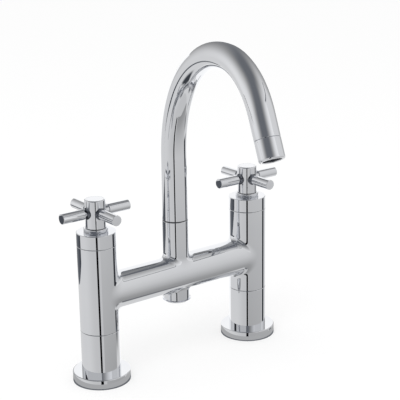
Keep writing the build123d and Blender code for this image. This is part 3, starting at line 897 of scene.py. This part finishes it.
def station(point, lean):
    """A frame on the centre line, whose Z runs along the tube."""
    tangent = up * math.cos(lean) + forward * math.sin(lean)
    side_way = up.cross(forward)
    return Matrix.Translation(point) @ Matrix((side_way.cross(tangent) * -1, side_way, tangent)
                                              ).transposed().to_4x4()


def centre_line(foot):
    """Yields the distance along the tube and the frame at every station."""
    point = Vector((0, 0, foot))
    lean = 0.0
    travelled = 0.0
    yield travelled, station(point, lean)
    for length, bend, steps in STRETCHES:
        turn_each = bend / steps
        chord = length / steps
        if bend:
            chord = 2 * length / bend * math.sin(turn_each / 2)
        for step in range(steps):
            way = lean + turn_each / 2
            point = point + chord * (up * math.cos(way) + forward * math.sin(way))
            lean += turn_each
            travelled += length / steps
            yield travelled, station(point, lean)


stations = list(centre_line(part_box("spout_tube")[0][2] + SEAM_ROOM))
spout_end = stations[-1][1]
print(len(stations), "stations,", round(SPOUT_LENGTH / MM, 1), "mm; mouth at",
      [round(value / MM, 1) for value in spout_end.translation])

# %% [markdown]
# `create_circle` makes the first ring and `extrude_edge_only` every next one. Solidify then gives
# the tube its real wall, inwards, and a small bevel breaks the edges at its seams.


# %% Spout tube
def sized(frame_at, travelled):
    radius = TUBE_FOOT_RADIUS + (TUBE_TIP_RADIUS - TUBE_FOOT_RADIUS) * travelled / SPOUT_LENGTH
    return frame_at @ Matrix.Diagonal((radius, radius, 1, 1))


def swept_tube():
    shape = bmesh.new()
    bmesh.ops.create_circle(shape, cap_ends=False, radius=1.0, segments=LATHE_STEPS)
    start = sized(stations[0][1], stations[0][0])
    bmesh.ops.transform(shape, matrix=start, verts=shape.verts)
    ring = shape.edges[:]
    for travelled, frame_at in stations[1:]:
        following = sized(frame_at, travelled)
        grown = bmesh.ops.extrude_edge_only(shape, edges=ring)["geom"]
        verts = [part for part in grown if isinstance(part, bmesh.types.BMVert)]
        ring = [part for part in grown if isinstance(part, bmesh.types.BMEdge)
                and all(vert in set(verts) for vert in part.verts)]
        bmesh.ops.transform(shape, matrix=following @ start.inverted(), verts=verts)
        start = following
    bmesh.ops.recalc_face_normals(shape, faces=shape.faces)
    return shape


tube = add_piece("spout_swan_neck", swept_tube(), "spout", "chrome_plate", ["spout_tube"])
wall = tube.modifiers.new("wall", "SOLIDIFY")
wall.thickness = TUBE_WALL
wall.offset = -1.0
edges = tube.modifiers.new("seam edges", "BEVEL")
edges.width = SEAM_EDGE
edges.segments = 2
edges.limit_method = "ANGLE"
edges.angle_limit = math.radians(60)
weigh_normals(tube)
middle = tube.data.vertices[0].co
print("tube of", len(tube.data.polygons), "faces, outer face normal points out:",
      tube.data.polygons[0].normal.dot(tube.data.polygons[0].center * Vector((1, 1, 0))) > 0)

# %% [markdown]
# The nozzle is turned on the same lathe, then laid on the last station. A V groove marks its seam,
# and its mouth has a broad polished lip.

# %% Nozzle
NOZZLE_LENGTH = 18.0 * MM
INSERT_LENGTH = 8.0 * MM
LIP_LENGTH = 3.0 * MM
INSERT_RADIUS = 9.4 * MM
NOZZLE_BORE = 8.6 * MM
MOUTH_RADIUS = 8.1 * MM
LIP_ROUNDING = 1.8 * MM
MOUTH_ROUNDING = 0.7 * MM
GROOVE = 0.6 * MM


def nozzle_shape():
    lip = NOZZLE_LENGTH - LIP_LENGTH
    shape = turned([(INSERT_RADIUS, 0), (TUBE_TIP_RADIUS - GROOVE, 0), (TUBE_TIP_RADIUS, GROOVE),
                    (TUBE_TIP_RADIUS, NOZZLE_LENGTH), (MOUTH_RADIUS, NOZZLE_LENGTH),
                    (MOUTH_RADIUS, lip), (NOZZLE_BORE, lip), (NOZZLE_BORE, -INSERT_LENGTH),
                    (INSERT_RADIUS, -INSERT_LENGTH)], closed=True)
    round_rim(shape, TUBE_TIP_RADIUS, NOZZLE_LENGTH, LIP_ROUNDING, 8)
    round_rim(shape, MOUTH_RADIUS, NOZZLE_LENGTH, MOUTH_ROUNDING, 5)
    return shape


weigh_normals(add_piece("spout_nozzle_turned", nozzle_shape(), "spout", "chrome_plate",
                        ["spout_nozzle"], spout_end))
print("nozzle", NOZZLE_LENGTH / MM, "mm long")

# %% [markdown]
# ## The bridge casting
#
# Two pillars, a bridge, a riser and a boss are one casting, and a polisher has run all its joints
# into each other. A bevel on the crease of two round bars fails where they meet at a shallow
# angle, so the blend is a rule instead: the bars are joined with a boolean, then every vertex
# near a joint moves straight out until it lies on one smooth surface. The rule is a distance:
# far from the joint it is the distance to the nearer bar, and near it the two distances are
# mixed. The same rule gives the exact normals, so the mirror is as smooth as the polish.

# %% Bars and blends
JOINT_BLEND = 5.5 * MM
BOSS_BLEND = 2.0 * MM
ROW_HEIGHT = 1.5 * MM
PILLAR_SEAM_ROOM = 0.2 * MM
body_low, body_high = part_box("bridge_body")
leg_radius, leg_foot, leg_end = span("left_shroud")
PILLAR_RADIUS = leg_radius
HALF_SPACING = body_high[0] - PILLAR_RADIUS
body_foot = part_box("left_base_flange")[1][2] + 41.3 * MM
body_top = leg_foot
BRIDGE_RADIUS = 17.75 * MM
BRIDGE_Z = body_foot + 34.8 * MM
RISER_RADIUS = 12.7 * MM
RISER_TOP = body_high[2] - SEAM_ROOM
BOSS_FOOT = BRIDGE_Z - 27.5 * MM
BOSS_ROUNDING = 2.5 * MM
UPRIGHTS = {-HALF_SPACING: PILLAR_RADIUS, 0.0: RISER_RADIUS, HALF_SPACING: PILLAR_RADIUS}


def from_wall(point, on_axis, axis, radius):
    """How far a point lies outside a round bar, and the way straight out."""
    out = point - on_axis
    out = out - axis * out.dot(axis)
    return out.length - radius, out.normalized()


def from_casting(point):
    """The same for the whole casting, with each bar run into the bridge."""
    near = min(UPRIGHTS, key=lambda x: abs(point.x - x))
    upright, upright_out = from_wall(point, Vector((near, 0, 0)), up, UPRIGHTS[near])
    level, level_out = from_wall(point, Vector((0, 0, BRIDGE_Z)), Vector((1, 0, 0)), BRIDGE_RADIUS)
    blend = BOSS_BLEND if near == 0 and point.z < BRIDGE_Z else JOINT_BLEND
    reach = blend * upright_out.cross(level_out).length
    if abs(point.x) >= HALF_SPACING or reach <= CLOSE:
        return (upright, upright_out) if abs(point.x) >= HALF_SPACING or upright < level else (
            level, level_out)
    share = max(reach - abs(upright - level), 0) / reach
    level_part = share / 2 if upright < level else 1 - share / 2
    out = upright_out * (1 - level_part) + level_out * level_part
    return min(upright, level) - share * share * reach / 4, out


def lay_on_casting(shape):
    """Moves the vertices of the bars' walls out onto the blended surface."""
    moved = 0
    for vert in shape.verts:
        distance, out = from_casting(vert.co)
        wall_level = from_wall(vert.co, Vector((0, 0, BRIDGE_Z)), Vector((1, 0, 0)),
                               BRIDGE_RADIUS)[0]
        if distance > -CLOSE or distance < -JOINT_BLEND or wall_level > JOINT_BLEND:
            continue
        moved += 1
        for repeat in range(5):
            distance, out = from_casting(vert.co)
            vert.co -= out * (distance / out.length_squared)
    return moved


print("pillars at", round(HALF_SPACING / MM, 1), "mm, bridge at", round(BRIDGE_Z / MM, 1), "mm")

# %% [markdown]
# The four bars are joined first. Their walls have a row of corners every 1.5 mm, so that the
# blend has something to move.


# %% The casting
def bar(radius, foot, top, edge, row_height=None):
    """A solid round bar with both rims chamfered by edge."""
    return turned([(0, foot), (radius - edge, foot), (radius, foot + edge), (radius, top - edge),
                   (radius - edge, top), (0, top)], row_height=row_height)


level_turn = turn(math.pi / 2, "Y")
bridge = placed(bar(BRIDGE_RADIUS, -HALF_SPACING, HALF_SPACING, SEAM_EDGE, ROW_HEIGHT),
                move(0, 0, BRIDGE_Z) @ level_turn)
riser = bar(RISER_RADIUS, BOSS_FOOT, RISER_TOP, SEAM_EDGE, ROW_HEIGHT)
pillars = [placed(bar(PILLAR_RADIUS, body_foot + PILLAR_SEAM_ROOM, body_top - PILLAR_SEAM_ROOM,
                      SEAM_EDGE, ROW_HEIGHT), move(x, 0, 0))
           for x in (-HALF_SPACING, HALF_SPACING)]
casting = combined(bridge, [riser] + pillars, "UNION")
print("casting of", len(casting.faces), "faces, moved", lay_on_casting(casting), "vertices")

# %% [markdown]
# The bores are turned too and cut out last: a socket and a valve chamber in each pillar, the
# waterway of the bridge, the stepped bore of the riser and boss, and the small hole for the grub
# screw at the back of the riser.

# %% Bores
SEAT_Z = 67.0 * MM
SOCKET_TOP = 63.3 * MM
OVER = 1.0 * MM


def stepped_bore(steps):
    """A cutter of (radius, foot, top) steps, from the bottom up."""
    outline = [(0, steps[0][1])]
    for radius, foot, top in steps:
        outline += [(radius, foot), (radius, top)]
    return turned(outline + [(0, steps[-1][2])])


valve_steps = ((14.55 * MM, body_foot - OVER, SOCKET_TOP), (5.8 * MM, SOCKET_TOP, SEAT_Z),
               (12.6 * MM, SEAT_Z, body_top + OVER))
riser_steps = ((8.05 * MM, BOSS_FOOT - OVER, BRIDGE_Z), (7.0 * MM, BRIDGE_Z, 106.2 * MM),
               (9.06 * MM, 106.2 * MM, 133.0 * MM), (10.45 * MM, 133.0 * MM, RISER_TOP + OVER))
cutters = [placed(stepped_bore(valve_steps), move(x, 0, 0)) for x in (-HALF_SPACING, HALF_SPACING)]
cutters.append(placed(bar(12.0 * MM, -HALF_SPACING, HALF_SPACING, SEAM_EDGE),
                      move(0, 0, BRIDGE_Z) @ level_turn))
cutters.append(stepped_bore(riser_steps))
cutters.append(placed(bar(2.55 * MM, 0, RISER_RADIUS + OVER, SEAM_EDGE / 4),
                      move(0, 0, body_high[2] - 16.5 * MM) @ turn(-math.pi / 2, "X")))
casting = combined(casting, cutters, "DIFFERENCE")
boss_rim = [edge for edge in casting.edges if len(edge.link_faces) == 2 and all(
    abs(vert.co.z - BOSS_FOOT) < CLOSE and abs(vert.co.xy.length - RISER_RADIUS + SEAM_EDGE) < CLOSE
    for vert in edge.verts)]
bmesh.ops.bevel(casting, geom=boss_rim, offset=BOSS_ROUNDING, offset_type="OFFSET", segments=6,
                profile=0.5, affect="EDGES", material=-1)
bmesh.ops.remove_doubles(casting, verts=casting.verts, dist=0.02 * MM)
bmesh.ops.triangulate(casting, faces=[face for face in casting.faces if len(face.verts) > 4])
casting_piece = add_piece("bridge_casting", casting, "body", "chrome_plate", ["bridge_body"])
print(len(casting_piece.data.polygons), "faces after", len(cutters), "bores")


# %% Exact normals
WALL_TOLERANCE = 0.03 * MM


def polish(mesh):
    """Gives every face of the outer walls the normals of the blended surface."""
    mesh.set_sharp_from_angle(angle=math.radians(30))
    on_wall = {}
    for vert in mesh.vertices:
        distance, out = from_casting(vert.co)
        if abs(distance) < WALL_TOLERANCE:
            on_wall[vert.index] = out.normalized()
    normals = [Vector((0, 0, 0))] * len(mesh.loops)
    for face in mesh.polygons:
        if all(index in on_wall for index in face.vertices):
            for corner in face.loop_indices:
                normals[corner] = on_wall[mesh.loops[corner].vertex_index]
    mesh.normals_split_custom_set(normals)
    return len(on_wall)


print("exact normals on", polish(casting_piece.data), "vertices")
